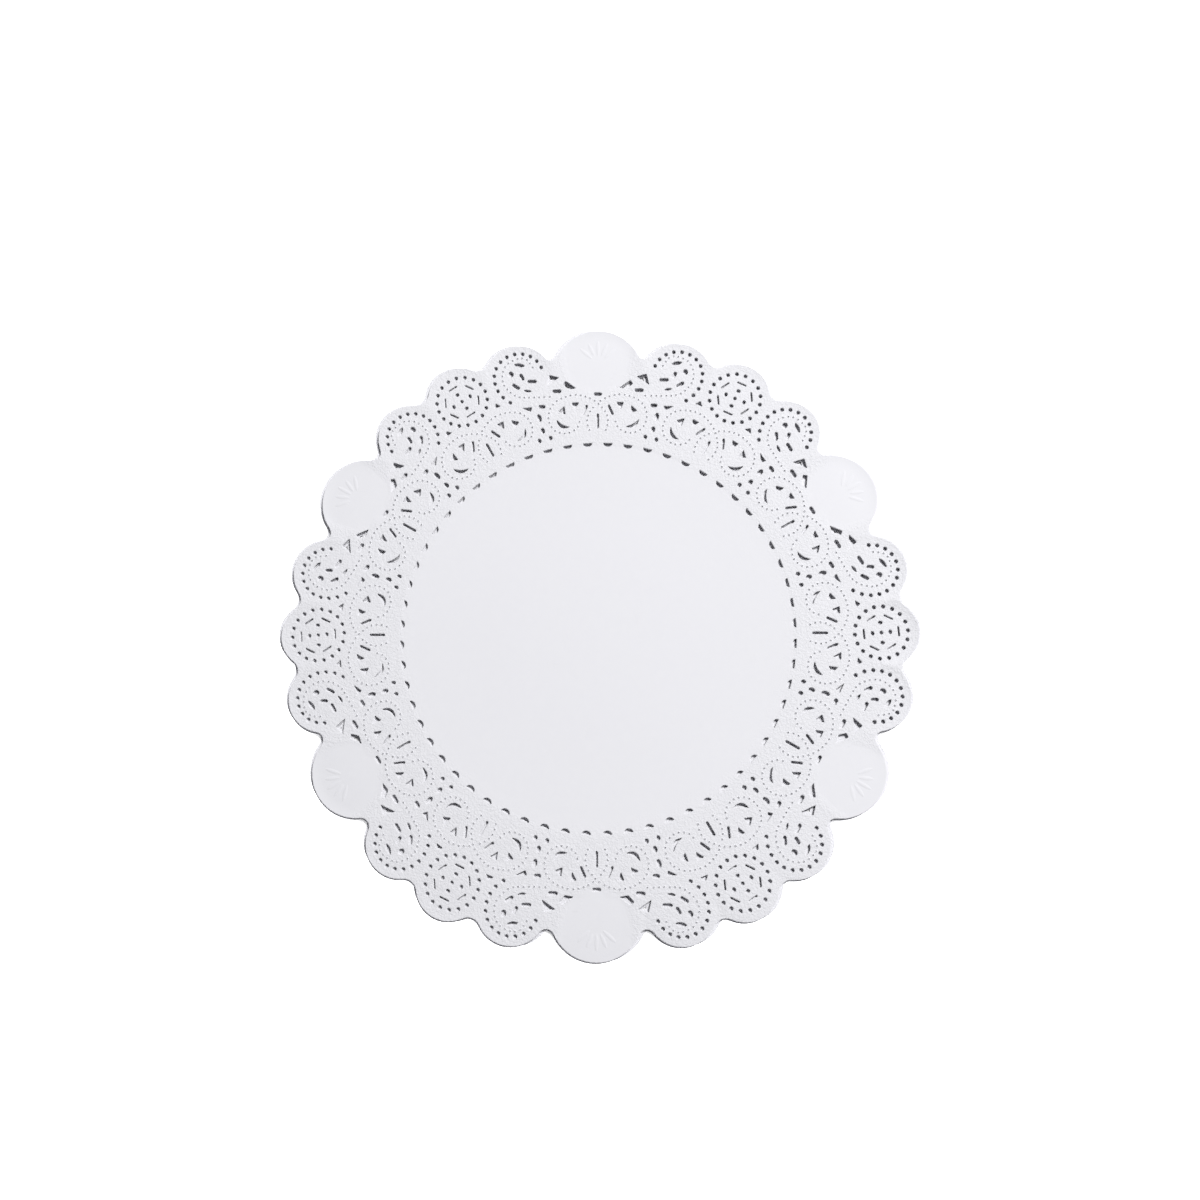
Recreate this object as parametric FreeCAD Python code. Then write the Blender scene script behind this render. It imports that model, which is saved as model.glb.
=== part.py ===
"""A pile of round paper lace doilies: equal sheets of thin paper, cut through with one lace pattern.

The lace is drawn flat in the XY plane about the sheet's centre, in millimetres, at the width
DRAWN_DIAMETER. It has six rosettes, on the axes at 0, 60, 120... degrees, and repeats every 60
degrees. Between two rosettes lie a curl lobe, a plain lobe and a second, mirrored curl lobe.
Each sheet is a separate solid. The sheets lie on each other, and the pile stands on Z = 0.
"""
import FreeCAD, Part
import math
import os

# Driving dimensions of the pile, mm and degrees
DOILY_DIAMETER = 305.0
PAPER_THICKNESS = 0.10
SHEET_COUNT = 12
SHEET_PITCH = 0.25
BASE_SLIP = 2.3
TOP_SLIP = 0.10
SLIP_FADE = 5
BASE_TURN = 0.5
BASE_SLIP_ANGLE = 145.0
SLIP_STEP_ANGLE = -137.5

# Lace: how often it repeats, and the width that it is drawn at
DRAWN_DIAMETER = 305.0
ROSETTE_FOLDS = 6
SCROLL_FOLDS = 12

# Edge lobes: distance from the sheet's centre, angle from the rosette axis, and lobe radius
ROSETTE_LOBE = (136.9, 0.0, 15.6)
CURL_LOBE = (134.8, 13.0, 16.4)
PLAIN_LOBE = (130.9, 30.0, 21.6)
ROSETTE_NOTCH_RADIUS = 6.0
PLAIN_NOTCH_RADIUS = 4.0

# Ring of half-moon slots round the plain middle
SLOT_RING_RADIUS = 93.8
SLOT_COUNT = 60
SLOT_LENGTH = 4.6
SLOT_DEPTH = 2.0

# Cut sizes that several shapes share
PINHOLE = 2.1
SEED_HOLE = 2.3
BAR_WIDTH = 1.4
PILL_WIDTH = 1.9

# Rosette: a ring of holes, six curved bars and a flower of five holes, all turned a little
ROSETTE_CENTRE = 134.7
ROSETTE_TURN = 4.6
ROSETTE_RING_RADIUS = 12.55
ROSETTE_RING_COUNT = 18
ROSETTE_BAR_RADIUS = 8.4
ROSETTE_BAR_LENGTH = 5.1
ROSETTE_BAR_WIDTH = 1.0
ROSETTE_PETAL_RADII = (4.2, 4.85)

# Curl: a row of pinholes that winds round the curl lobe, wider at its end
CURL_ROW_RADIUS = 12.2
CURL_ROW_START = 96.0
CURL_ROW_STEP = 19.1
CURL_ROW_COUNT = 13
CURL_ROW_WIDENING = (0.2, 0.7, 1.5)

ORIGIN = FreeCAD.Vector(0, 0, 0)
UP = FreeCAD.Vector(0, 0, 1)


def at(radius, angle, centre=ORIGIN):
    """Point at a radius and an angle in degrees round a centre."""
    turn = math.radians(angle)
    return centre + FreeCAD.Vector(radius * math.cos(turn), radius * math.sin(turn), 0)


def arc(start, middle, end):
    """Edge that runs from start through middle to end on a circle."""
    return Part.Arc(start, middle, end).toShape()


def round_hole(centre, diameter):
    """Round hole."""
    return Part.Wire(Part.makeCircle(diameter / 2, centre))


def oval(centre, length, width, direction):
    """Elliptic hole, its length along the direction in degrees."""
    ellipse = Part.Wire(Part.Ellipse(ORIGIN, length / 2, width / 2).toShape())
    ellipse.rotate(ORIGIN, UP, direction)
    ellipse.translate(centre)
    return ellipse


def pill(centre, length, width, direction):
    """Straight slot with round ends, its length along the direction in degrees."""
    reach = (length - width) / 2
    front, back = at(reach, direction, centre), at(-reach, direction, centre)
    side = at(width / 2, direction + 90)
    return Part.Wire([
        Part.makeLine(back - side, front - side),
        arc(front - side, at(width / 2, direction, front), front + side),
        Part.makeLine(front + side, back + side),
        arc(back + side, at(-width / 2, direction, back), back - side),
    ])


def sliver(tip, middle, other_tip, width):
    """Pointed slot between two arcs, straight or bent like a crescent, widest at its middle."""
    along = (other_tip - tip).normalize()
    side = UP.cross(along) * (width / 2)
    return Part.Wire([arc(tip, middle + side, other_tip), arc(other_tip, middle - side, tip)])


def lens(centre, length, width, direction):
    """Straight pointed slot."""
    return sliver(at(length / 2, direction, centre), centre, at(-length / 2, direction, centre), width)


def half_moon(centre, length, depth, direction):
    """Slot with one flat side, which faces along the direction in degrees, and one round side."""
    flat = at(depth / 2, direction, centre)
    left, right = at(length / 2, direction + 90, flat), at(-length / 2, direction + 90, flat)
    return Part.Wire([Part.makeLine(right, left), arc(left, at(-depth / 2, direction, centre), right)])


def bent_bar(centre, radius, angle, length, width):
    """Slot that follows a circle round a centre, with square ends."""
    half = math.degrees(length / 2 / radius)
    outer, inner = radius + width / 2, radius - width / 2
    return Part.Wire([
        arc(at(outer, angle - half, centre), at(outer, angle, centre), at(outer, angle + half, centre)),
        Part.makeLine(at(outer, angle + half, centre), at(inner, angle + half, centre)),
        arc(at(inner, angle + half, centre), at(inner, angle, centre), at(inner, angle - half, centre)),
        Part.makeLine(at(inner, angle - half, centre), at(outer, angle - half, centre)),
    ])


def cut_out(*corners):
    """Straight-sided hole through corners given as (radius, angle) about the sheet's centre."""
    points = [at(radius, angle) for radius, angle in corners]
    return Part.makePolygon(points + points[:1])


def turned(wires, angle, centre=ORIGIN):
    """Copies of wires, turned about a centre."""
    copies = [wire.copy() for wire in wires]
    for copy in copies:
        copy.rotate(centre, UP, angle)
    return copies


def mirrored(wires):
    """Copies of wires, mirrored across the rosette axis at 0 degrees."""
    return [wire.mirror(ORIGIN, FreeCAD.Vector(0, 1, 0)) for wire in wires]


def repeated(wires, folds):
    """Copies of wires all the way round the sheet."""
    return [copy for fold in range(folds) for copy in turned(wires, 360.0 / folds * fold)]


def slot_ring():
    """Half-moon slots round the plain middle, their flat sides outward."""
    step = 360.0 / SLOT_COUNT
    angles = [step * (index + 0.5) for index in range(SLOT_COUNT)]
    return [half_moon(at(SLOT_RING_RADIUS, angle), SLOT_LENGTH, SLOT_DEPTH, angle) for angle in angles]


def scroll_band():
    """Cuts of the band of scrolls outside the slot ring, on both sides of each scroll axis."""
    on_axis = [
        pill(at(105.9, 0), 7.7, BAR_WIDTH, 0),
        oval(at(104.8, 15), 3.2, SEED_HOLE, 15),
        oval(at(111.5, 15), 4.2, 2.5, 15),
    ]
    beside_axis = [
        pill(at(111.8, 3.26), 5.8, BAR_WIDTH, -24),
        cut_out((116.2, 6.4), (116.0, 4.5), (112.1, 5.8)),
        cut_out((112.7, 10.0), (115.2, 8.2), (110.5, 8.2)),
        sliver(at(108.8, 10.7), at(104.7, 9.5), at(104.1, 7.4), PILL_WIDTH),
        oval(at(100.2, 13.4), 1.2 * PINHOLE, PINHOLE, 13.4),
    ]
    return repeated(on_axis + beside_axis + mirrored(beside_axis), SCROLL_FOLDS)


def fan_cuts():
    """Cuts between the scroll band and the edge lobes, on both sides of each rosette axis."""
    on_axis = [pill(at(119.7, 30), 4.3, PILL_WIDTH, 120)]
    beside_axis = [
        cut_out((117.9, 14.1), (115.6, 13.4), (119.1, 11.6)),
        pill(at(116.8, 16.35), 3.6, PINHOLE, -60),
        cut_out((123.7, 7.3), (126.2, 6.4), (123.8, 5.4)),
        pill(at(123.1, 20.5), 4.7, PINHOLE, -60),
        cut_out((123.3, 25.1), (127.9, 22.8), (126.3, 22.05), (123.0, 23.1)),
        cut_out((130.0, 21.6), (132.2, 19.5), (126.6, 18.4)),
    ]
    return repeated(on_axis + beside_axis + mirrored(beside_axis), ROSETTE_FOLDS)


def curl_lobe():
    """Cuts of one curl lobe: the winding row of pinholes and the six seeds inside it."""
    centre = at(*CURL_LOBE[:2])
    widening = (0.0,) * (CURL_ROW_COUNT - len(CURL_ROW_WIDENING)) + CURL_ROW_WIDENING
    row = [
        round_hole(at(CURL_ROW_RADIUS + extra, CURL_ROW_START - CURL_ROW_STEP * index, centre), PINHOLE)
        for index, extra in enumerate(widening)
    ]
    seeds = [
        lens(at(140.7, 13.9), 5.5, PINHOLE, -51),
        pill(at(134.4, 13.7), 3.9, PILL_WIDTH, 0),
        oval(at(137.4, 11.7), 3.3, 2.8, 15),
        pill(at(130.5, 11.9), 4.6, PILL_WIDTH, -28),
        pill(at(130.8, 15.55), 4.9, PILL_WIDTH, -60),
        lens(at(126.6, 14.1), 4.0, BAR_WIDTH, -52),
    ]
    return row + seeds


def curl_lobes():
    """Cuts of all curl lobes, one on each side of every rosette."""
    lobe = curl_lobe()
    return repeated(lobe + mirrored(lobe), ROSETTE_FOLDS)


def rosette():
    """Cuts of the rosette on the axis at 0 degrees."""
    centre = at(ROSETTE_CENTRE, 0)
    ring_step = 360.0 / ROSETTE_RING_COUNT
    ring = [
        round_hole(at(ROSETTE_RING_RADIUS, ring_step * index, centre), PINHOLE)
        for index in range(ROSETTE_RING_COUNT)
    ]
    bars = [
        bent_bar(centre, ROSETTE_BAR_RADIUS, 60 * index, ROSETTE_BAR_LENGTH, ROSETTE_BAR_WIDTH)
        for index in range(6)
    ]
    petals = [
        oval(at(ROSETTE_PETAL_RADII[index % 2], 90 * index, centre), SEED_HOLE, PILL_WIDTH, 90 * index + 90)
        for index in range(4)
    ]
    heart = [round_hole(centre, PILL_WIDTH)]
    return turned(ring + bars + petals + heart, ROSETTE_TURN, centre)


def notch(lobe, other_lobe, radius):
    """Rounded notch between two neighbouring lobes: its start, its middle and its end point."""
    centre, other_centre = at(*lobe[:2]), at(*other_lobe[:2])
    reach, other_reach = lobe[2] + radius, other_lobe[2] + radius
    span = other_centre - centre
    along = (reach ** 2 - other_reach ** 2 + span.Length ** 2) / (2 * span.Length)
    out = span.cross(UP).normalize() * math.sqrt(reach ** 2 - along ** 2)
    hub = centre + span * (along / span.Length) + out
    start = hub + (centre - hub).normalize() * radius
    end = hub + (other_centre - hub).normalize() * radius
    return start, hub + ((start + end) / 2 - hub).normalize() * radius, end


def sheet_edge():
    """Scalloped edge of a sheet: 24 lobes with a rounded notch between each two."""
    distance, angle, radius = CURL_LOBE
    far_curl = (distance, 60 - angle, radius)
    sector = [
        (ROSETTE_LOBE, ROSETTE_NOTCH_RADIUS),
        (CURL_LOBE, PLAIN_NOTCH_RADIUS),
        (PLAIN_LOBE, PLAIN_NOTCH_RADIUS),
        (far_curl, ROSETTE_NOTCH_RADIUS),
    ]
    lobes = [
        ((lobe[0], lobe[1] + 60 * fold, lobe[2]), notch_radius)
        for fold in range(ROSETTE_FOLDS)
        for lobe, notch_radius in sector
    ]
    notches = [
        notch(lobe, lobes[(index + 1) % len(lobes)][0], notch_radius)
        for index, (lobe, notch_radius) in enumerate(lobes)
    ]
    edges = []
    for index, (lobe, _) in enumerate(lobes):
        tip = at(lobe[0] + lobe[2], lobe[1])
        start, middle, end = notches[index]
        edges += [arc(notches[index - 1][2], tip, start), arc(start, middle, end)]
    return Part.Wire(edges)


def doily():
    """One sheet, flat on Z = 0 and centred on the Z axis."""
    holes = slot_ring() + scroll_band() + fan_cuts() + curl_lobes() + repeated(rosette(), ROSETTE_FOLDS)
    face = Part.makeFace([sheet_edge()] + holes, "Part::FaceMakerCheese")
    face.scale(DOILY_DIAMETER / DRAWN_DIAMETER)
    return face.extrude(UP * PAPER_THICKNESS)


def lay(sheet, index):
    """Copy of a sheet in its place in the pile, slipped and turned a little, most at the base."""
    looseness = (1 - index / (SHEET_COUNT - 1)) ** SLIP_FADE
    direction = BASE_SLIP_ANGLE + SLIP_STEP_ANGLE * index
    slip = TOP_SLIP + (BASE_SLIP - TOP_SLIP) * looseness
    turn = BASE_TURN * looseness * math.cos(math.radians(2 * direction))
    copy = sheet.copy()
    copy.rotate(ORIGIN, UP, turn)
    copy.translate(at(slip, direction) + UP * (SHEET_PITCH * index))
    return copy


def node_name(index):
    """Name of a sheet, counted from the base of the pile."""
    if index == 0:
        return "bottom_doily"
    if index == SHEET_COUNT - 1:
        return "top_doily"
    return "doily_{:02d}".format(index + 1)


def main():
    """Write every sheet of the pile to its own file."""
    os.makedirs("parts", exist_ok=True)
    sheet = doily()
    for index in range(SHEET_COUNT):
        lay(sheet, index).exportStep("parts/{}.step".format(node_name(index)))


main()
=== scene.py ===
"""A pile of round paper lace doilies: die-cut, embossed and laid on each other."""
import logging
import math
from dataclasses import dataclass, field
from enum import Enum

import bmesh
import bpy
from bmesh.types import BMesh, BMFace, BMVert
from mathutils import Matrix, Vector
from mathutils.kdtree import KDTree


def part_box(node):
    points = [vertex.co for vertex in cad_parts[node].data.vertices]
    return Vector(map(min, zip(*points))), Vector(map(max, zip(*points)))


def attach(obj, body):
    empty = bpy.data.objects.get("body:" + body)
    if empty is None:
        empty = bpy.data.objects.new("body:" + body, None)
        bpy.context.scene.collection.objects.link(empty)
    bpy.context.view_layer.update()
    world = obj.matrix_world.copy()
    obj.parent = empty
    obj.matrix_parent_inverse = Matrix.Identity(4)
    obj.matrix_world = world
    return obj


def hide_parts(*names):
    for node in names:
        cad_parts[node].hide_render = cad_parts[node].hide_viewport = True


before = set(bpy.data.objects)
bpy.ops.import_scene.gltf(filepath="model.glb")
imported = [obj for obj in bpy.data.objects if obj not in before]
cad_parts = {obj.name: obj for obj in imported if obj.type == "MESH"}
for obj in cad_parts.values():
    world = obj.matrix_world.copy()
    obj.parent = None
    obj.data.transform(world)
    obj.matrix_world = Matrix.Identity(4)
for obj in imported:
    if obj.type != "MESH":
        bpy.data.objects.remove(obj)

LOG = logging.getLogger("doilies")
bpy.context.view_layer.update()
MM = 0.001
ORIGIN = Vector((0.0, 0.0, 0.0))
UP = Vector((0.0, 0.0, 1.0))
FOLDS = 6
FOLD_ANGLE = 360.0 / FOLDS
BAND_FOLDS = 2 * FOLDS


class Embossing(Enum):
    """How much of the die's relief a sheet shows."""

    FULL = "rims, pin dots and ribs"
    RIMS = "rims of the cuts only"


@dataclass(frozen=True)
class LaceSizes:
    """Sizes of the lace pattern, in millimetres and degrees, about the centre of a sheet."""

    slot_ring_radius: float = 93.8
    slot_count: int = 60
    slot_length: float = 4.6
    slot_depth: float = 2.0
    pinhole: float = 2.1
    seed_hole: float = 2.3
    bar_width: float = 1.4
    pill_width: float = 1.9
    rosette_centre: float = 134.7
    rosette_turn: float = 4.6
    rosette_ring_radius: float = 12.55
    rosette_ring_count: int = 18
    rosette_bar_radius: float = 8.4
    rosette_bar_count: int = 6
    rosette_bar_length: float = 5.1
    rosette_bar_width: float = 1.0
    rosette_bar_sag: float = -0.4
    rosette_petal_radii: tuple[float, float] = (4.2, 4.85)
    rosette_petal_count: int = 4
    curl_row_radius: float = 12.2
    curl_row_start: float = 96.0
    curl_row_step: float = 19.1
    curl_row_count: int = 13
    curl_row_widening: tuple[float, float, float] = (0.2, 0.7, 1.5)
    rib_hub_shift: float = 4.5
    rib_radius: float = 8.0
    rib_step: float = 24.0
    rib_width: float = 2.2
    rib_lengths: tuple[float, float] = (8.4, 7.4)
    ribs_each_side: int = 2
    lobe_disc_shift: float = 2.9
    lobe_disc_radii: tuple[float, ...] = (6.3, 4.2, 2.1)
    lobe_disc_segments: int = 24
    middle_radii: tuple[float, ...] = (87.5, 80.0, 70.0, 60.0, 50.0, 40.0, 30.0, 20.0, 10.0, 4.0)
    middle_segments: int = 96
    lace_start: tuple[float, float] = (91.0, 96.0)
    plain_lobe_reach: tuple[float, float] = (14.5, 18.5)


LACE = LaceSizes()


@dataclass(frozen=True)
class Lobe:
    """One round lobe of the scalloped edge: where its centre lies and its radius."""

    distance: float
    angle: float
    radius: float

    def turned(self, angle: float) -> "Lobe":
        """The same lobe further round the sheet."""
        return Lobe(self.distance, self.angle + angle, self.radius)

    @property
    def centre(self) -> Vector:
        """Centre of the lobe in the plane of the sheet."""
        return at(self.distance, self.angle)


ROSETTE_LOBE = Lobe(136.9, 0.0, 15.6)
CURL_LOBE = Lobe(134.8, 13.0, 16.4)
PLAIN_LOBE = Lobe(130.9, 30.0, 21.6)
FAR_CURL_LOBE = Lobe(CURL_LOBE.distance, FOLD_ANGLE - CURL_LOBE.angle, CURL_LOBE.radius)


def at(radius: float, angle: float, hub: Vector = ORIGIN) -> Vector:
    """Point at a radius and an angle round a hub.

    Args:
        radius: Distance from the hub.
        angle: Angle from the X axis, in degrees.
        hub: Centre of the turn.

    Returns:
        The point, in the plane of the sheet.
    """
    turn = math.radians(angle)
    return hub + Vector((radius * math.cos(turn), radius * math.sin(turn), 0.0))


EDGE_LOBES = tuple(
    lobe.turned(FOLD_ANGLE * fold)
    for fold in range(FOLDS)
    for lobe in (ROSETTE_LOBE, CURL_LOBE, PLAIN_LOBE, FAR_CURL_LOBE))


def placed(spot: Vector, direction: float) -> Matrix:
    """Matrix that carries a shape to a spot and turns its length to a direction in degrees."""
    return Matrix.Translation(spot) @ Matrix.Rotation(math.radians(direction), 4, "Z")


def smooth_step(value: float, low: float, high: float) -> float:
    """Soft ramp from 0 at low to 1 at high."""
    share = min(1.0, max(0.0, (value - low) / (high - low)))
    return share * share * (3.0 - 2.0 * share)


def bulge(angle: float, height: float, middle: float, spread: float) -> float:
    """Bell-shaped rise round an angle.

    Args:
        angle: Angle round the pile, in degrees.
        height: Height of the bell.
        middle: Angle of its middle.
        spread: Angle from its middle to where it has dropped to about a third.

    Returns:
        Height of the bell at the angle.
    """
    return height * math.exp(-((angle - middle) / spread) ** 2)


def lace_share(spot: Vector) -> float:
    """How far a place on a sheet belongs to the embossed lace.

    Args:
        spot: Place about the sheet's centre, in millimetres.

    Returns:
        1 in the lace, 0 on the plain middle and the plain lobes.
    """
    radius = spot.to_2d().length
    turn = math.degrees(math.atan2(spot.y, spot.x)) % FOLD_ANGLE
    hub = PLAIN_LOBE.distance + LACE.rib_hub_shift
    from_lobe = (at(min(radius, hub), turn) - at(hub, PLAIN_LOBE.angle)).length
    return smooth_step(radius, *LACE.lace_start) * smooth_step(from_lobe, *LACE.plain_lobe_reach)


@dataclass
class Stamp:
    """Adds cuts and embossed marks to one bmesh, each drawn at the origin and then put in place.

    Every mark leaves an open loop at height 0 round it, to which the paper between the marks is filled.
    """

    mesh: BMesh = field(default_factory=bmesh.new)
    rim: float = 0.35
    rim_drop: float = 0.07
    oval_segments: int = 12
    pill_segments: int = 14
    sliver_segments: int = 16
    corner_segments: int = 3
    dot_segments: int = 7
    dot_width: float = 1.3
    dot_height: float = 0.36
    dot_tip: float = 0.55
    rib_segments: int = 10
    rib_height: float = 0.11
    rib_crown: tuple[float, float] = (0.72, 0.3)

    def _ring(self, segments: int, length: float, width: float) -> list[BMVert]:
        """Capped ellipse round the origin, its length along X, with no vertex halfway along it."""
        shape = Matrix.Diagonal((length / 2, width / 2, 1.0, 1.0)) @ Matrix.Rotation(-math.pi / 2, 4, "Z")
        made = bmesh.ops.create_circle(self.mesh, cap_ends=True, segments=segments, radius=1.0, matrix=shape)
        return made["verts"]

    def _raise(self, face: BMFace, scale: tuple[float, float], height: float, centre: Vector) -> BMFace:
        """Extrudes a face, shrinks the copy about a centre and lifts it."""
        top = bmesh.ops.extrude_discrete_faces(self.mesh, faces=[face])["faces"][0]
        verts = list(top.verts)
        bmesh.ops.scale(self.mesh, vec=(*scale, 1.0), verts=verts, space=Matrix.Translation(-centre))
        bmesh.ops.translate(self.mesh, vec=(0.0, 0.0, height), verts=verts)
        return top

    def _cut(self, verts: list[BMVert], size: tuple[float, float], centre: Vector, place: Matrix) -> None:
        """Opens a shape, leaves a rim that dips towards the cut, and puts both in place."""
        rims = tuple((length - 2 * self.rim) / length for length in size)
        hole = self._raise(verts[0].link_faces[0], rims, -self.rim_drop, centre)
        inner = list(hole.verts)
        bmesh.ops.delete(self.mesh, geom=[hole], context="FACES_ONLY")
        bmesh.ops.transform(self.mesh, matrix=place, verts=verts + inner)

    def oval(self, spot: Vector, length: float, width: float, direction: float = 0.0) -> None:
        """Cuts a round or elliptic hole."""
        size = (length + 2 * self.rim, width + 2 * self.rim)
        self._cut(self._ring(self.oval_segments, *size), size, ORIGIN, placed(spot, direction))

    def pill(self, spot: Vector, length: float, width: float, direction: float, sag: float = 0.0) -> None:
        """Cuts a slot with round ends; sag moves its middle sideways and bends it."""
        size = (length + 2 * self.rim, width + 2 * self.rim)
        verts = self._ring(self.pill_segments, size[1], size[1])
        for vert in verts:
            vert.co.x += math.copysign((size[0] - size[1]) / 2, vert.co.x)
        place = placed(spot, direction)
        self._cut(verts, size, ORIGIN, place)
        self._bow(verts, place, size[0] / 2, sag)

    def sliver(self, spot: Vector, length: float, width: float, direction: float, sag: float = 0.0) -> None:
        """Cuts a pointed slot; sag moves its middle sideways and makes a crescent of it."""
        size = (length + 2 * self.rim, width + 2 * self.rim)
        verts = self._ring(self.sliver_segments, *size)
        for vert in verts:
            vert.co.y *= math.sqrt(abs(vert.co.y) / (size[1] / 2))
        place = placed(spot, direction)
        self._cut(verts, size, ORIGIN, place)
        self._bow(verts, place, size[0] / 2, sag)

    def _bow(self, verts: list[BMVert], place: Matrix, half: float, sag: float) -> None:
        """Bends a placed cut and its rim, so that the middle stands sag off the line of its ends."""
        if not sag:
            return
        back = place.inverted()
        both = {other for vert in verts for edge in vert.link_edges for other in edge.verts}
        for vert in both:
            local = back @ vert.co
            local.y += sag * (1.0 - (local.x / half) ** 2)
            vert.co = place @ local

    def half_moon(self, spot: Vector, length: float, depth: float, direction: float) -> None:
        """Cuts a slot with one flat side, which faces along the direction."""
        size = (length + 2 * self.rim, depth + 2 * self.rim)
        verts = self._ring(self.sliver_segments, size[0], 2 * size[1])
        face = verts[0].link_faces[0]
        bmesh.ops.bisect_plane(
            self.mesh, geom=[face] + list(face.edges) + list(face.verts), dist=1e-5,
            plane_co=ORIGIN, plane_no=(0.0, 1.0, 0.0), clear_outer=True)
        face = max((f for v in verts if v.is_valid for f in v.link_faces), key=lambda f: f.calc_area())
        outline = list(face.verts)
        bmesh.ops.translate(self.mesh, vec=(0.0, size[1] / 2, 0.0), verts=outline)
        self._cut(outline, size, ORIGIN, placed(spot, direction - 90.0))

    def corners(self, *corners: tuple[float, float], rounding: float = 0.75) -> None:
        """Cuts a straight-sided hole with soft corners, given as (radius, angle) about the sheet's centre."""
        verts = [self.mesh.verts.new(at(radius, angle)) for radius, angle in corners]
        face = self.mesh.faces.new(verts)
        centre = face.calc_center_median()
        inner = 2.0 * face.calc_area() / face.calc_perimeter()
        grow = (inner + self.rim) / inner
        bmesh.ops.scale(self.mesh, vec=(grow, grow, 1.0), verts=verts, space=Matrix.Translation(-centre))
        soft = bmesh.ops.bevel(
            self.mesh, geom=verts, offset=rounding, segments=self.corner_segments, profile=0.5,
            affect="VERTICES", material=-1)
        outline = list(soft["verts"][0].link_faces[0].verts)
        size = (2 * (inner + self.rim),) * 2
        self._cut(outline, size, centre, Matrix.Identity(4))

    def prick(self, spot: Vector) -> None:
        """Embosses one raised pin dot, whose tip is pricked open."""
        verts = self._ring(self.dot_segments, self.dot_width, self.dot_width)
        tip = self._raise(verts[0].link_faces[0], (self.dot_tip,) * 2, self.dot_height, ORIGIN)
        crown = list(tip.verts)
        bmesh.ops.delete(self.mesh, geom=[tip], context="FACES_ONLY")
        bmesh.ops.translate(self.mesh, vec=spot, verts=verts + crown)

    def rib(self, spot: Vector, length: float, width: float, direction: float) -> None:
        """Embosses one low raised rib."""
        verts = self._ring(self.rib_segments, length, width)
        top = self._raise(verts[0].link_faces[0], self.rib_crown, self.rib_height, ORIGIN)
        crown = list(top.verts)
        bmesh.ops.transform(self.mesh, matrix=placed(spot, direction), verts=verts + crown)

    def plain_disc(self, spot: Vector, radii: tuple[float, ...], segments: int) -> None:
        """Lays a smooth disc of rings about a spot, from the widest radius inward."""
        verts = self._ring(segments, 2 * radii[0], 2 * radii[0])
        made = set(verts)
        face = verts[0].link_faces[0]
        for outer, inner in zip(radii, radii[1:]):
            face = self._raise(face, (inner / outer,) * 2, 0.0, ORIGIN)
            made.update(face.verts)
        for poked in bmesh.ops.poke(self.mesh, faces=[face])["faces"]:
            made.update(poked.verts)
        bmesh.ops.translate(self.mesh, vec=spot, verts=list(made))

    def mirror(self) -> None:
        """Adds the mirror image of everything so far across the X axis."""
        everything = self.mesh.verts[:] + self.mesh.edges[:] + self.mesh.faces[:]
        bmesh.ops.mirror(self.mesh, geom=everything, matrix=Matrix.Identity(4), merge_dist=-1.0, axis="Y")

    def repeat(self, folds: int) -> None:
        """Repeats everything so far all the way round the sheet."""
        everything = self.mesh.verts[:] + self.mesh.edges[:] + self.mesh.faces[:]
        bmesh.ops.spin(
            self.mesh, geom=everything, cent=ORIGIN, axis=(0.0, 0.0, 1.0),
            angle=math.tau * (folds - 1) / folds, steps=folds - 1, use_duplicate=True)

    def take(self, other: "Stamp") -> None:
        """Moves everything of another stamp into this one."""
        carrier = bpy.data.meshes.new("carrier")
        other.mesh.to_mesh(carrier)
        other.mesh.free()
        self.mesh.from_mesh(carrier)
        bpy.data.meshes.remove(carrier)


@dataclass(frozen=True)
class DotLine:
    """Row of pin dots along a smooth line through a few points, in millimetres."""

    points: tuple[tuple[float, float], ...]
    spacing: float = 2.5
    fineness: int = 20

    def _point(self, place: float) -> Vector:
        """Point on the line; place counts the given points."""
        last = len(self.points) - 1
        index = min(int(place), last - 1)
        share = place - index
        before, start, end, after = [
            Vector(self.points[min(max(index + step, 0), last)]) for step in (-1, 0, 1, 2)]
        return 0.5 * (2 * start + (end - before) * share
                      + (2 * before - 5 * start + 4 * end - after) * share ** 2
                      + (3 * start - before - 3 * end + after) * share ** 3)

    def spots(self) -> list[Vector]:
        """Places of the dots, evenly spaced along the line."""
        steps = self.fineness * (len(self.points) - 1)
        fine = [self._point(step / self.fineness) for step in range(steps + 1)]
        spots = [fine[0]]
        walked = 0.0
        for start, end in zip(fine, fine[1:]):
            walked += (end - start).length
            if walked >= self.spacing:
                spots.append(end)
                walked -= self.spacing
        return [spot.to_3d() for spot in spots]


SCROLL_LINE = DotLine((
    (105.5, 8.9), (102.0, 10.5), (99.7, 15.4), (101.2, 20.9), (105.3, 23.7), (110.0, 24.1), (114.8, 21.9),
    (117.9, 17.4), (119.4, 11.6), (118.6, 6.2), (115.9, 1.0), (112.6, -2.3), (109.3, -4.5), (104.9, -5.1),
    (100.5, -3.7)))
CURL_LINE = DotLine((
    (114.5, 38.9), (118.6, 31.3), (123.0, 24.9), (129.5, 22.4), (134.4, 23.0), (138.6, 26.2), (140.4, 31.2),
    (138.2, 37.8), (131.4, 39.2)))


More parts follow.
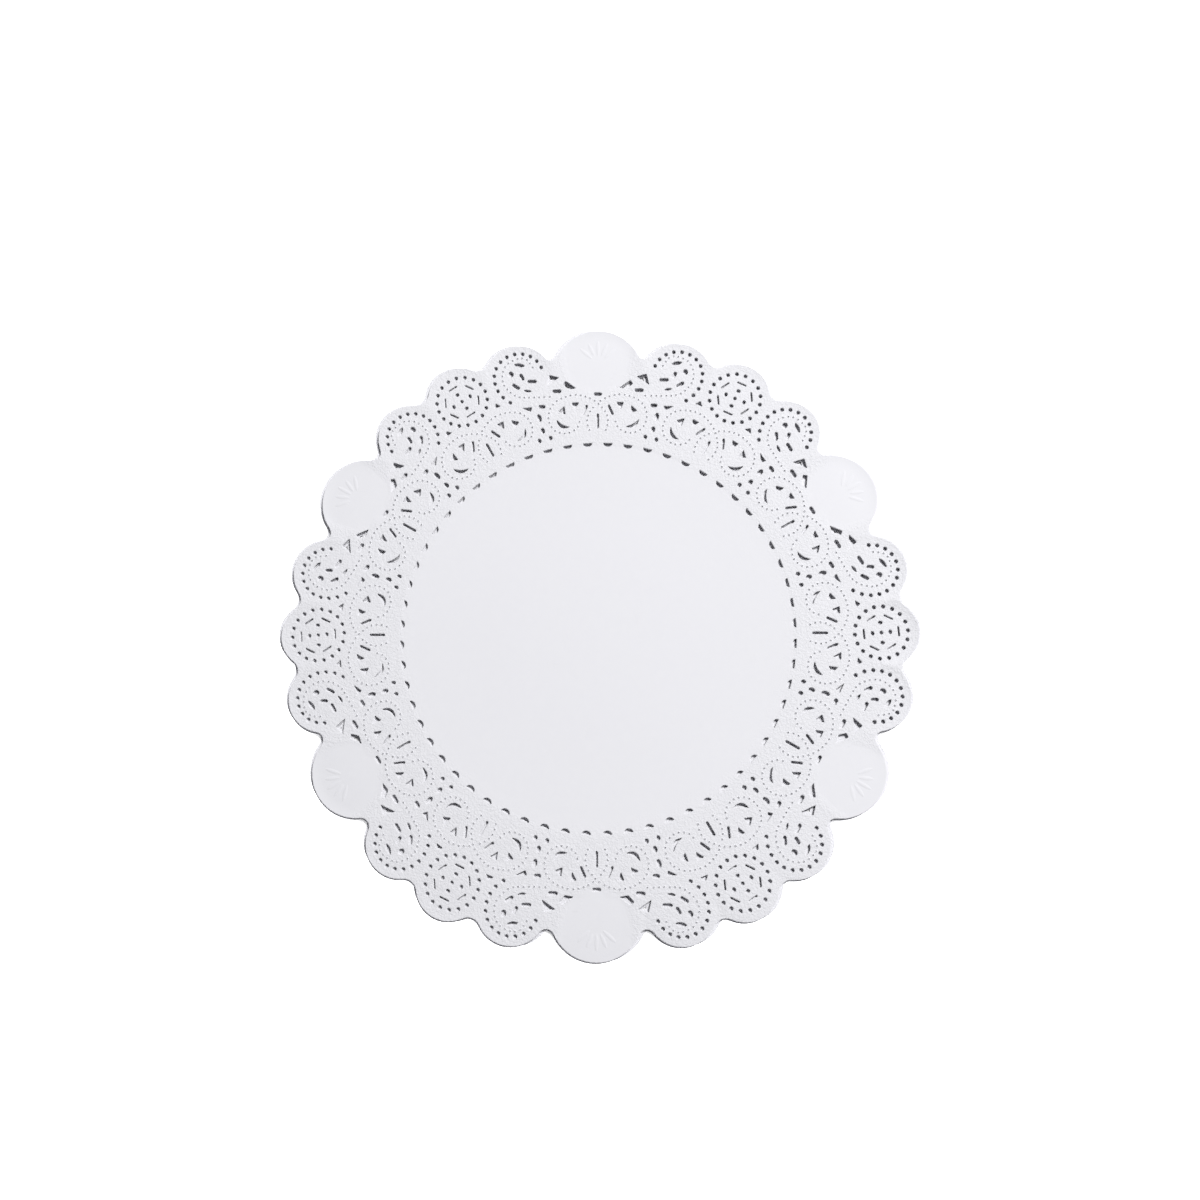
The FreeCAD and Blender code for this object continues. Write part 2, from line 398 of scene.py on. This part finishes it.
@dataclass
class Doily:
    """One die-cut and embossed sheet, built flat about the sheet's centre in millimetres."""

    embossing: Embossing
    sizes: LaceSizes = LACE
    thickness: float = 0.10
    rosette_notch: float = 6.0
    plain_notch: float = 4.0
    edge_insets: tuple[float, ...] = (0.25, 0.45)
    edge_drop: float = 0.06
    lobe_steps: tuple[int, ...] = (16, 16, 20, 16)
    notch_steps: int = 6
    weld_distance: float = 0.01
    flat_tolerance: float = 1e-4
    dot_clearance: float = 0.72
    dot_gap: float = 1.6
    margin_radius: float = 124.0
    longest_edges: tuple[float, ...] = (4.0, 2.2)

    def slot_ring(self) -> Stamp:
        """Half-moon slots round the plain middle, their flat sides outward."""
        stamp = Stamp()
        step = 360.0 / self.sizes.slot_count
        spot = at(self.sizes.slot_ring_radius, step / 2)
        stamp.half_moon(spot, self.sizes.slot_length, self.sizes.slot_depth, step / 2)
        stamp.repeat(self.sizes.slot_count)
        return stamp

    def scroll_band(self) -> Stamp:
        """Cuts and dotted scrolls of the band outside the slot ring."""
        sizes = self.sizes
        stamp = Stamp()
        stamp.pill(at(111.8, 3.26), 5.8, sizes.bar_width, -24)
        stamp.corners((116.2, 6.4), (116.0, 4.5), (112.1, 5.8))
        stamp.corners((112.7, 10.0), (115.2, 8.2), (110.5, 8.2))
        stamp.sliver(at(106.4, 9.1), 7.5, sizes.pill_width, 60.7, sag=1.8)
        stamp.oval(at(100.2, 13.4), 2.5, sizes.pinhole, 13.4)
        stamp.mirror()
        stamp.pill(at(105.9, 0), 7.7, sizes.bar_width, 0)
        stamp.oval(at(104.8, 15), 3.2, sizes.seed_hole, 15)
        stamp.oval(at(111.5, 15), 4.2, 2.5, 15)
        stamp.repeat(BAND_FOLDS)
        return stamp

    def fan_cuts(self) -> Stamp:
        """Cuts between the scroll band and the edge lobes."""
        sizes = self.sizes
        stamp = Stamp()
        stamp.corners((117.9, 14.1), (115.6, 13.4), (119.1, 11.6))
        stamp.pill(at(116.8, 16.35), 3.6, sizes.pinhole, -60)
        stamp.corners((123.7, 7.3), (126.2, 6.4), (123.8, 5.4))
        stamp.pill(at(123.1, 20.5), 4.7, sizes.pinhole, -60)
        stamp.corners((123.3, 25.1), (127.9, 22.8), (126.3, 22.05), (123.0, 23.1), rounding=0.6)
        stamp.corners((130.0, 21.6), (132.2, 19.5), (126.6, 18.4))
        stamp.mirror()
        stamp.pill(at(119.7, 30), 4.3, sizes.pill_width, 120)
        stamp.repeat(FOLDS)
        return stamp

    def curl_lobes(self) -> Stamp:
        """Cuts and dotted line of the two curl lobes beside each rosette."""
        sizes = self.sizes
        stamp = Stamp()
        centre = CURL_LOBE.centre
        even = sizes.curl_row_count - len(sizes.curl_row_widening)
        widening = (0.0,) * even + sizes.curl_row_widening
        for index, extra in enumerate(widening):
            angle = sizes.curl_row_start - sizes.curl_row_step * index
            stamp.oval(at(sizes.curl_row_radius + extra, angle, centre), sizes.pinhole, sizes.pinhole)
        stamp.sliver(at(140.7, 13.9), 5.5, sizes.pinhole, -51)
        stamp.pill(at(134.4, 13.7), 3.9, sizes.pill_width, 0)
        stamp.oval(at(137.4, 11.7), 3.3, 2.8, 15)
        stamp.pill(at(130.5, 11.9), 4.6, sizes.pill_width, -28)
        stamp.pill(at(130.8, 15.55), 4.9, sizes.pill_width, -60)
        stamp.sliver(at(126.6, 14.1), 4.0, sizes.bar_width, -52)
        stamp.mirror()
        stamp.repeat(FOLDS)
        return stamp

    def rosettes(self) -> Stamp:
        """Cuts of the rosettes, each turned a little about its own centre."""
        sizes = self.sizes
        stamp = Stamp()
        centre = at(sizes.rosette_centre, 0)
        turn = sizes.rosette_turn
        for index in range(sizes.rosette_ring_count):
            angle = turn + 360.0 / sizes.rosette_ring_count * index
            stamp.oval(at(sizes.rosette_ring_radius, angle, centre), sizes.pinhole, sizes.pinhole)
        bar_radius = sizes.rosette_bar_radius + sizes.rosette_bar_sag
        for index in range(sizes.rosette_bar_count):
            angle = turn + 360.0 / sizes.rosette_bar_count * index
            stamp.pill(at(bar_radius, angle, centre), sizes.rosette_bar_length, sizes.rosette_bar_width,
                       angle + 90, sag=sizes.rosette_bar_sag)
        for index in range(sizes.rosette_petal_count):
            angle = turn + 360.0 / sizes.rosette_petal_count * index
            spot = at(sizes.rosette_petal_radii[index % 2], angle, centre)
            stamp.oval(spot, sizes.seed_hole, sizes.pill_width, angle + 90)
        stamp.oval(centre, sizes.pill_width, sizes.pill_width)
        stamp.repeat(FOLDS)
        return stamp

    def pin_dots(self, marks: BMesh) -> Stamp:
        """Pricked pin dots of the scrolls and the curls, where they clear every cut.

        Args:
            marks: All cuts of the sheet, in their places.

        Returns:
            The dots.
        """
        wanted = []
        for line, folds in ((SCROLL_LINE, BAND_FOLDS), (CURL_LINE, FOLDS)):
            turns = [Matrix.Rotation(math.tau * fold / folds, 4, "Z") for fold in range(folds)]
            for spot in line.spots():
                for image in (spot, Vector((spot.x, -spot.y, 0.0))):
                    wanted += [turn @ image for turn in turns]
        edges = KDTree(len(marks.verts))
        for index, vert in enumerate(marks.verts):
            edges.insert(vert.co, index)
        edges.balance()
        stamp = Stamp()
        taken = []
        for spot in wanted:
            clear = edges.find(spot)[2] > self.dot_clearance
            if clear and all((spot - other).length > self.dot_gap for other in taken):
                stamp.prick(spot)
                taken.append(spot)
        return stamp

    def plain_parts(self) -> Stamp:
        """Smooth middle of the sheet, and plain lobes with a fan of ribs towards their edge."""
        sizes = self.sizes
        stamp = Stamp()
        hub = PLAIN_LOBE.centre + at(sizes.rib_hub_shift, PLAIN_LOBE.angle)
        disc = PLAIN_LOBE.centre - at(sizes.lobe_disc_shift, PLAIN_LOBE.angle)
        stamp.plain_disc(disc, sizes.lobe_disc_radii, sizes.lobe_disc_segments)
        if self.embossing is Embossing.FULL:
            for index in range(-sizes.ribs_each_side, sizes.ribs_each_side + 1):
                direction = PLAIN_LOBE.angle + sizes.rib_step * index
                length = sizes.rib_lengths[index % 2]
                stamp.rib(at(sizes.rib_radius, direction, hub), length, sizes.rib_width, direction)
        stamp.repeat(FOLDS)
        middle = Stamp()
        middle.plain_disc(ORIGIN, sizes.middle_radii, sizes.middle_segments)
        stamp.take(middle)
        return stamp

    def _notch(self, lobe: Lobe, other: Lobe, radius: float) -> tuple[Vector, Vector, Vector]:
        """Rounded notch between two lobes.

        Args:
            lobe: The lobe before the notch.
            other: The lobe after it.
            radius: Radius of the notch.

        Returns:
            Centre of the notch, and the points where it meets the two lobes.
        """
        reach = lobe.radius + radius
        other_reach = other.radius + radius
        span = other.centre - lobe.centre
        along = (reach ** 2 - other_reach ** 2 + span.length_squared) / (2 * span.length)
        out = span.cross(UP).normalized() * math.sqrt(reach ** 2 - along ** 2)
        hub = lobe.centre + span.normalized() * along + out
        start = hub + (lobe.centre - hub).normalized() * radius
        end = hub + (other.centre - hub).normalized() * radius
        return hub, start, end

    def _sweep(self, mesh: BMesh, vert: BMVert, hub: Vector, end: Vector, turn: float, steps: int) -> BMVert:
        """Spins a vertex about a hub until it reaches an end point, clockwise where turn is negative."""
        angle = (vert.co - hub).to_2d().angle_signed((end - hub).to_2d()) * -1.0
        if angle * turn < 0:
            angle += math.copysign(math.tau, turn)
        made = bmesh.ops.spin(
            mesh, geom=[vert], cent=hub, axis=(0.0, 0.0, 1.0), angle=angle, steps=steps)
        return next(item for item in made["geom_last"] if isinstance(item, BMVert))

    def edge(self) -> Stamp:
        """Scalloped edge of the sheet: its outline and narrow strips inside it."""
        stamp = Stamp()
        mesh = stamp.mesh
        ring = (FAR_CURL_LOBE.turned(-FOLD_ANGLE), ROSETTE_LOBE, CURL_LOBE, PLAIN_LOBE, FAR_CURL_LOBE,
                ROSETTE_LOBE.turned(FOLD_ANGLE))
        radii = (self.rosette_notch,) * 2 + (self.plain_notch,) * 2 + (self.rosette_notch,)
        notches = [self._notch(*pair, radius) for *pair, radius in zip(ring, ring[1:], radii)]
        vert = mesh.verts.new(notches[0][2])
        for lobe, notch, steps in zip(ring[1:5], notches[1:], self.lobe_steps):
            vert = self._sweep(mesh, vert, lobe.centre, notch[1], 1.0, steps)
            vert = self._sweep(mesh, vert, notch[0], notch[2], -1.0, self.notch_steps)
        stamp.repeat(FOLDS)
        bmesh.ops.remove_doubles(mesh, verts=mesh.verts[:], dist=self.weld_distance)
        face = bmesh.ops.contextual_create(mesh, geom=mesh.edges[:])["faces"][0]
        rim = list(face.verts)
        for inset in self.edge_insets:
            bmesh.ops.inset_individual(mesh, faces=[face], thickness=inset, use_even_offset=True)
        bmesh.ops.delete(mesh, geom=[face], context="FACES_ONLY")
        bmesh.ops.translate(mesh, vec=(0.0, 0.0, -self.edge_drop), verts=rim)
        return stamp

    def surface(self) -> BMesh:
        """The sheet's upper side: all marks, and the paper filled in between them."""
        whole = self.edge()
        for part in (self.slot_ring, self.scroll_band, self.fan_cuts, self.curl_lobes, self.rosettes,
                     self.plain_parts):
            whole.take(part())
        if self.embossing is Embossing.FULL:
            whole.take(self.pin_dots(whole.mesh))
        mesh = whole.mesh
        open_edges = [
            edge for edge in mesh.edges
            if len(edge.link_faces) == 1 and all(abs(vert.co.z) < self.flat_tolerance for vert in edge.verts)]
        bmesh.ops.triangle_fill(mesh, use_beauty=True, edges=open_edges, normal=(0.0, 0.0, 1.0))
        self.refine_margin(mesh)
        for face in mesh.faces:
            face.normal_update()
            if face.normal.z < 0:
                face.normal_flip()
        return mesh

    def refine_margin(self, mesh: BMesh) -> None:
        """Splits the long edges outside the scroll band, so that the paper there can curl smoothly.

        Args:
            mesh: The flat upper side of the sheet.
        """
        for longest in self.longest_edges:
            edges = [
                edge for edge in mesh.edges
                if edge.calc_length() > longest and max(v.co.length for v in edge.verts) > self.margin_radius]
            split = bmesh.ops.subdivide_edges(mesh, edges=edges, cuts=1)
            faces = {face for item in split["geom_inner"] for face in item.link_faces if len(face.verts) > 3}
            bmesh.ops.triangulate(mesh, faces=list(faces))


@dataclass
class Pile:
    """All sheets of the pile, each slipped and turned a little, and arched a little as loose paper is."""

    width: float = 305.0
    pitch: float = 0.25
    base_slip: float = 2.3
    top_slip: float = 0.10
    slip_fade: int = 5
    base_turn: float = 0.5
    base_slip_angle: float = 145.0
    slip_step_angle: float = -137.5
    rest: float = 0.12
    crown: float = 0.6
    crown_rise: tuple[float, float] = (60.0, 104.0)
    crown_fall: tuple[float, float] = (132.0, 153.0)
    crown_fall_share: float = 0.6
    wave: float = 0.3
    wave_rise: tuple[float, float] = (20.0, 120.0)
    margin_rise: tuple[float, float] = (127.0, 139.0)
    curl_reach: float = 4.5
    curl_limit: float = 1.1
    curl_power: float = 1.6
    curl_height: float = 0.28
    upturn: tuple[float, float, float] = (0.55, 2.0, 13.0)
    droop: tuple[float, float, float] = (0.55, -68.0, 38.0)
    crease_angle: float = 8.0
    names: list[str] = field(default_factory=list)

    def __post_init__(self) -> None:
        """Sorts the sheets of the frame from the base of the pile to its top."""
        self.names = sorted(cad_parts, key=lambda name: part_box(name)[0][2])

    def edge_curl(self, x: float, y: float) -> float:
        """Height by which the margin of the lobes curls up, or droops where it is below 0.

        Args:
            x: Place along X, in millimetres.
            y: Place along Y, in millimetres.

        Returns:
            Height in millimetres, 0 away from the edge.
        """
        inside = max(lobe.radius - math.dist((x, y), lobe.centre[:2]) for lobe in EDGE_LOBES)
        share = min(self.curl_limit, max(0.0, 1.0 - inside / self.curl_reach))
        angle = math.degrees(math.atan2(y, x))
        lift = self.curl_height + bulge(angle, *self.upturn) - bulge(angle, *self.droop)
        return lift * share ** self.curl_power

    def arch(self, x: float, y: float) -> float:
        """Height by which loose paper stands off the table at a place.

        Args:
            x: Place along X, in millimetres.
            y: Place along Y, in millimetres.

        Returns:
            Height in millimetres.
        """
        radius = math.hypot(x, y)
        angle = math.atan2(y, x)
        fall = self.crown_fall_share * smooth_step(radius, *self.crown_fall)
        lace = smooth_step(radius, *self.crown_rise) * (1.0 - fall)
        swell = 0.5 + 0.5 * math.sin(3.0 * angle + 0.7) * math.cos(2.0 * angle - 0.4)
        height = self.rest + self.crown * lace + self.wave * swell * smooth_step(radius, *self.wave_rise)
        margin = smooth_step(radius, *self.margin_rise)
        return height + (self.edge_curl(x, y) * margin if margin else 0.0)

    def place(self, index: int) -> Matrix:
        """Where a sheet lies in the pile, slipped and turned most at the base."""
        looseness = (1.0 - index / (len(self.names) - 1)) ** self.slip_fade
        direction = self.base_slip_angle + self.slip_step_angle * index
        slip = self.top_slip + (self.base_slip - self.top_slip) * looseness
        turn = self.base_turn * looseness * math.cos(math.radians(2 * direction))
        return placed(at(slip, direction) + Vector((0, 0, self.pitch * index)), turn)

    def lay(self, surface: BMesh, index: int, thickness: float) -> bpy.types.Object:
        """Lays a copy of a sheet's surface in the pile and gives it its thickness.

        Args:
            surface: The flat upper side of a sheet.
            index: Number of the sheet, from the base.
            thickness: Thickness of the paper, in millimetres.

        Returns:
            The sheet as an object that replaces its node.
        """
        mesh = surface.copy()
        bmesh.ops.transform(mesh, matrix=self.place(index), verts=mesh.verts)
        for vert in mesh.verts:
            vert.co.z += thickness + self.arch(vert.co.x, vert.co.y)
        mesh.normal_update()
        bmesh.ops.solidify(mesh, geom=mesh.faces[:], thickness=thickness)
        bmesh.ops.scale(mesh, vec=(MM, MM, MM), verts=mesh.verts)
        name = self.names[index]
        data = bpy.data.meshes.new(name + "_paper")
        mesh.to_mesh(data)
        mesh.free()
        data.shade_smooth()
        data.set_sharp_from_angle(angle=math.radians(self.crease_angle))
        back = self.place(index).inverted()
        shares = [lace_share(back @ (vert.co / MM)) for vert in data.vertices]
        data.attributes.new("lace", "FLOAT", "POINT").data.foreach_set("value", shares)
        piece = bpy.data.objects.new(name + "_paper", data)
        bpy.context.scene.collection.objects.link(piece)
        return piece

    def build(self, finish: "PaperFinish") -> None:
        """Builds every sheet and tells the frame what it is."""
        top = len(self.names) - 1
        doilies = {kind: Doily(kind) for kind in Embossing}
        surfaces = {kind: doily.surface() for kind, doily in doilies.items()}
        material = finish.material()
        area = sum(face.calc_area() for face in surfaces[Embossing.RIMS].faces) * MM * MM
        for index, name in enumerate(self.names):
            kind = Embossing.FULL if index == top else Embossing.RIMS
            piece = self.lay(surfaces[kind], index, doilies[kind].thickness)
            piece.data.materials.append(material)
            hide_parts(name)
            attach(piece, name)
            LOG.info("%s: %d faces, %s", name, len(piece.data.polygons), kind.value)
        for surface in surfaces.values():
            surface.free()


@dataclass(frozen=True)
class PaperFinish:
    """Uncoated white paper: a soft fibre mottle all over, and a fine pressed grain in the lace."""

    colour: tuple[float, float, float] = (0.815, 0.812, 0.842)
    shade: tuple[float, float, float] = (0.775, 0.772, 0.806)
    roughness: float = 0.82
    fibre_scale: float = 2600.0
    cloud_scale: float = 260.0
    grain_scale: float = 1000.0
    distortion: float = 0.8
    cloud_share: float = 0.6
    roughness_spread: float = 0.08
    fibre_height: float = 0.22
    grain_height: float = 3.4
    bump_distance: float = 0.00024
    bump_strength: float = 0.5

    def _noise(self, group: bpy.types.NodeTree, scale: float, detail: float) -> bpy.types.NodeSocket:
        """Noise on Object coordinates.

        Args:
            group: Node tree that the noise is added to.
            scale: Waves of the noise in a metre.
            detail: Finer layers of the noise.

        Returns:
            The noise, from 0 to 1.
        """
        place = group.nodes.new("ShaderNodeTexCoord")
        noise = group.nodes.new("ShaderNodeTexNoise")
        noise.inputs["Scale"].default_value = scale
        noise.inputs["Detail"].default_value = detail
        noise.inputs["Distortion"].default_value = self.distortion
        group.links.new(place.outputs["Object"], noise.inputs["Vector"])
        return noise.outputs["Fac"]

    def fibre_group(self) -> bpy.types.NodeTree:
        """Node group of the paper's fibres: a mottle from 0 to 1, and a height for bumps."""
        group = bpy.data.node_groups.new("paper_fibres", "ShaderNodeTree")
        group.interface.new_socket(name="Lace", in_out="INPUT", socket_type="NodeSocketFloat")
        for name in ("Mottle", "Height"):
            group.interface.new_socket(name=name, in_out="OUTPUT", socket_type="NodeSocketFloat")
        nodes = group.nodes
        links = group.links
        into = nodes.new("NodeGroupInput")
        out = nodes.new("NodeGroupOutput")
        fibre = self._noise(group, self.fibre_scale, 3.0)
        cloud = self._noise(group, self.cloud_scale, 4.0)
        grain = self._noise(group, self.grain_scale, 1.0)
        blend = nodes.new("ShaderNodeMix")
        blend.inputs["Factor"].default_value = self.cloud_share
        links.new(fibre, blend.inputs["A"])
        links.new(cloud, blend.inputs["B"])
        links.new(blend.outputs["Result"], out.inputs["Mottle"])
        depth = nodes.new("ShaderNodeMath")
        depth.operation = "MULTIPLY"
        pressed = nodes.new("ShaderNodeMath")
        pressed.operation = "MULTIPLY"
        depth.inputs[1].default_value = self.grain_height
        links.new(into.outputs["Lace"], depth.inputs[0])
        links.new(grain, pressed.inputs[0])
        links.new(depth.outputs["Value"], pressed.inputs[1])
        height = nodes.new("ShaderNodeMath")
        height.operation = "MULTIPLY_ADD"
        height.inputs[1].default_value = self.fibre_height
        links.new(fibre, height.inputs[0])
        links.new(pressed.outputs["Value"], height.inputs[2])
        links.new(height.outputs["Value"], out.inputs["Height"])
        return group

    def material(self) -> bpy.types.Material:
        """The paper's material."""
        material = bpy.data.materials.new("white_paper")
        material.use_nodes = True
        nodes, links = material.node_tree.nodes, material.node_tree.links
        shader = nodes["Principled BSDF"]
        fibres = nodes.new("ShaderNodeGroup")
        fibres.node_tree = self.fibre_group()
        lace = nodes.new("ShaderNodeAttribute")
        lace.attribute_name = "lace"
        links.new(lace.outputs["Fac"], fibres.inputs["Lace"])
        tint = nodes.new("ShaderNodeMix")
        tint.data_type = "RGBA"
        tint.inputs["A"].default_value = (*self.shade, 1.0)
        tint.inputs["B"].default_value = (*self.colour, 1.0)
        links.new(fibres.outputs["Mottle"], tint.inputs["Factor"])
        links.new(tint.outputs["Result"], shader.inputs["Base Color"])
        rough = nodes.new("ShaderNodeMapRange")
        rough.inputs["To Min"].default_value = self.roughness - self.roughness_spread
        rough.inputs["To Max"].default_value = self.roughness + self.roughness_spread
        links.new(fibres.outputs["Mottle"], rough.inputs["Value"])
        links.new(rough.outputs["Result"], shader.inputs["Roughness"])
        bump = nodes.new("ShaderNodeBump")
        bump.inputs["Strength"].default_value = self.bump_strength
        bump.inputs["Distance"].default_value = self.bump_distance
        links.new(fibres.outputs["Height"], bump.inputs["Height"])
        links.new(bump.outputs["Normal"], shader.inputs["Normal"])
        return material


@dataclass(frozen=True)
class Studio:
    """Floor, lights and camera."""

    camera_place: tuple[float, float, float] = (0.0303, -0.1049, 0.6636)
    camera_target: tuple[float, float, float] = (0.0013, 0.0167, 0.0029)
    camera_up: tuple[float, float, float] = (0.0058, 0.9835, 0.1807)
    lens: float = 42.0
    sensor_width: float = 36.0
    clip: tuple[float, float] = (0.01, 20.0)
    floor_size: float = 12.0
    floor_colour: tuple[float, float, float] = (0.99, 0.99, 0.99)
    floor_roughness: float = 0.9
    # Painted light: the floor's glow, rising from nothing under the pile to full strength just outside its
    # edge, washes out the pile's cast shadow.
    painted_floor_glow: float = 1.6
    painted_glow_start: tuple[float, float] = (0.138, 0.151)
    key_place: tuple[float, float, float] = (0.82, 0.84, 2.10)
    key_size: float = 0.62
    key_power: float = 63.5
    fill_colour: tuple[float, float, float] = (0.93, 0.95, 1.0)
    fill_strength: float = 0.10
    wall_colour: tuple[float, float, float] = (0.83, 0.84, 0.86)

    def camera(self) -> None:
        """Camera above the pile, looking down at it."""
        data = bpy.data.cameras.new("camera")
        data.lens = self.lens
        data.sensor_width = self.sensor_width
        data.clip_start, data.clip_end = self.clip
        camera = bpy.data.objects.new("camera", data)
        back = (Vector(self.camera_place) - Vector(self.camera_target)).normalized()
        right = Vector(self.camera_up).cross(back).normalized()
        turn = Matrix((right, back.cross(right), back)).transposed().to_4x4()
        camera.matrix_world = Matrix.Translation(self.camera_place) @ turn
        bpy.context.scene.collection.objects.link(camera)
        bpy.context.scene.camera = camera

    def floor(self) -> None:
        """White floor, staged so that it is no part of the object."""
        mesh = bmesh.new()
        bmesh.ops.create_grid(mesh, x_segments=1, y_segments=1, size=self.floor_size / 2)
        data = bpy.data.meshes.new("floor")
        mesh.to_mesh(data)
        mesh.free()
        floor = bpy.data.objects.new("floor", data)
        data.materials.append(self.floor_material())
        bpy.context.scene.collection.objects.link(floor)

    def floor_material(self) -> bpy.types.Material:
        """White material of the floor, with painted light: it glows outside the pile and not under it, which
        lights up the pile's cast shadow on it.
        """
        material = bpy.data.materials.new("floor")
        material.use_nodes = True
        nodes, links = material.node_tree.nodes, material.node_tree.links
        shader = nodes["Principled BSDF"]
        shader.inputs["Base Color"].default_value = (*self.floor_colour, 1.0)
        shader.inputs["Roughness"].default_value = self.floor_roughness
        place = nodes.new("ShaderNodeTexCoord")
        reach = nodes.new("ShaderNodeVectorMath")
        reach.operation = "LENGTH"
        links.new(place.outputs["Object"], reach.inputs[0])
        # Painted light: glow strength grows with distance from the middle, so the floor under the pile stays
        # unlit and the shadow band round it is lit up.
        painted_glow = nodes.new("ShaderNodeMapRange")
        painted_glow.inputs["From Min"].default_value = self.painted_glow_start[0]
        painted_glow.inputs["From Max"].default_value = self.painted_glow_start[1]
        painted_glow.inputs["To Max"].default_value = self.painted_floor_glow
        links.new(reach.outputs["Value"], painted_glow.inputs["Value"])
        shader.inputs["Emission Strength"].default_value = 1.0
        links.new(painted_glow.outputs["Result"], shader.inputs["Emission Color"])
        return material

    def lights(self) -> None:
        """Key light from the upper right, and an even fill from all round."""
        bpy.context.scene.view_settings.view_transform = "Standard"
        data = bpy.data.lights.new("key", "AREA")
        data.shape = "DISK"
        data.size = self.key_size
        data.energy = self.key_power
        key = bpy.data.objects.new("key", data)
        aim = Vector(self.key_place).to_track_quat("Z", "Y").to_matrix().to_4x4()
        key.matrix_world = Matrix.Translation(self.key_place) @ aim
        bpy.context.scene.collection.objects.link(key)
        bpy.context.scene.world = self.surroundings()

    def surroundings(self) -> bpy.types.World:
        """Dim even light from all round, in whose place the camera sees a pale wall."""
        world = bpy.data.worlds.new("studio")
        world.use_nodes = True
        nodes, links = world.node_tree.nodes, world.node_tree.links
        sky = nodes["Background"]
        sky.inputs["Color"].default_value = (*self.fill_colour, 1.0)
        sky.inputs["Strength"].default_value = self.fill_strength
        wall = nodes.new("ShaderNodeBackground")
        wall.inputs["Color"].default_value = (*self.wall_colour, 1.0)
        seen = nodes.new("ShaderNodeLightPath")
        either = nodes.new("ShaderNodeMixShader")
        links.new(seen.outputs["Is Camera Ray"], either.inputs["Fac"])
        links.new(sky.outputs["Background"], either.inputs[1])
        links.new(wall.outputs["Background"], either.inputs[2])
        links.new(either.outputs["Shader"], nodes["World Output"].inputs["Surface"])
        return world


def main() -> None:
    """Builds the studio and the pile."""
    logging.basicConfig(level=logging.INFO)
    studio = Studio()
    studio.camera()
    studio.floor()
    studio.lights()
    Pile().build(PaperFinish())


if __name__ == "__main__":
    main()
